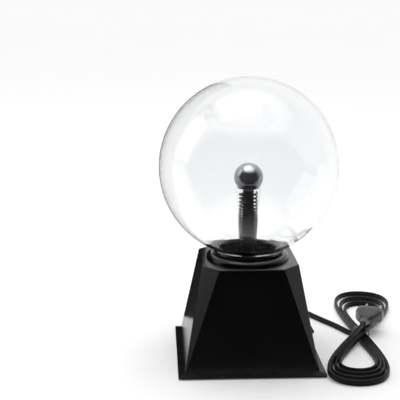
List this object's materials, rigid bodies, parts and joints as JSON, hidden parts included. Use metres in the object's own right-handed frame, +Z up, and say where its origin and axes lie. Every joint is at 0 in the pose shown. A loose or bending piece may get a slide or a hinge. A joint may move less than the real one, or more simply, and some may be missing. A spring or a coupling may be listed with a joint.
{
  "type": "plasma ball",
  "caption": "Plasma ball lamp: clear glass globe with a central electrode on a faceted black base, rocker switch at the side, flat mains cord in a tied hank with its plug.",
  "frame": {"origin": "on the ground, under the axis of the globe, at the bottom of the rubber feet", "axes": "+Z up along the globe's axis; -Y towards the front of the base; +X towards the side with the rocker switch and the coiled cord; +Y towards the cord outlet"},
  "size_m": [0.2236, 0.2291, 0.239],
  "materials": {
    "base_plastic": "high gloss black",
    "plinth_plastic": "satin black",
    "foot_rubber": "matt",
    "screw_steel": "zinc plated",
    "collar_plastic": "satin black",
    "gasket_rubber": "matt",
    "cradle_plastic": "matt",
    "clear_glass": "clear, polished",
    "electrode_coat": "glossy dark mirror",
    "core_plastic": "satin black",
    "wool_steel": "dull fibres",
    "board_laminate": "green lacquer",
    "ferrite": "dull dark grey",
    "winding_tape": "yellow tape",
    "copper_wire": "enamelled copper",
    "sink_aluminium": "mill finish",
    "component_epoxy": "matt epoxy",
    "capacitor_sleeve": "shrink sleeve",
    "film_resin": "dipped resin",
    "resistor_body": "tan lacquer",
    "fuse_glass": "clear tube with metal caps",
    "contact_brass": "bright",
    "terminal_plastic": "moulded",
    "switch_plastic": "satin black",
    "rocker_plastic": "black",
    "wire_insulation": "flexible insulation",
    "hv_insulation": "white silicone",
    "relief_plastic": "moulded, matt",
    "cord_jacket": "flexible, satin",
    "tie_plastic": "plastic-covered wire",
    "plug_plastic": "moulded, satin"
  },
  "bodies": {
    "base": {"base_shell": "base_plastic", "bottom_plate": "plinth_plastic", "rubber_feet": "foot_rubber", "base_screws": "screw_steel", "collar_ring": "collar_plastic", "neck_gasket": "gasket_rubber", "globe_cradle": "cradle_plastic", "cradle_screws": "screw_steel", "glass_globe": "clear_glass", "electrode_stem": "clear_glass", "electrode_coating": "electrode_coat", "stem_bung": "gasket_rubber", "core_tube": "core_plastic", "contact_spring": "core_plastic", "steel_wool": "wool_steel", "circuit_board": "board_laminate", "board_screws": "screw_steel", "ferrite_core": "ferrite", "hv_winding": "winding_tape", "primary_winding": "copper_wire", "heat_sink": "sink_aluminium", "power_transistor": "component_epoxy", "transistor_screw": "screw_steel", "electrolytic_capacitors": "capacitor_sleeve", "film_capacitors": "film_resin", "resistors": "resistor_body", "bridge_diodes": "component_epoxy", "fuse": "fuse_glass", "fuse_clips": "contact_brass", "terminal_block": "terminal_plastic", "switch_housing": "switch_plastic", "switch_terminals": "contact_brass", "switch_wires": "wire_insulation", "mains_wires": "wire_insulation", "hv_wire": "hv_insulation", "cord_clamp": "terminal_plastic", "clamp_screws": "screw_steel", "cord_strain_relief": "relief_plastic", "cord": "cord_jacket", "cord_hank": "cord_jacket", "cord_tie": "tie_plastic", "plug_body": "plug_plastic", "plug_blades": "contact_brass"},
    "rocker": {"switch_rocker": "rocker_plastic"}
  },
  "joints": [
    {"name": "switch_rock", "type": "hinge", "parent": "base", "child": "rocker", "pos_m": [0.05073, 0, 0.02332], "axis": [0, 1, 0], "range_deg": [0, 20]}
  ]
}
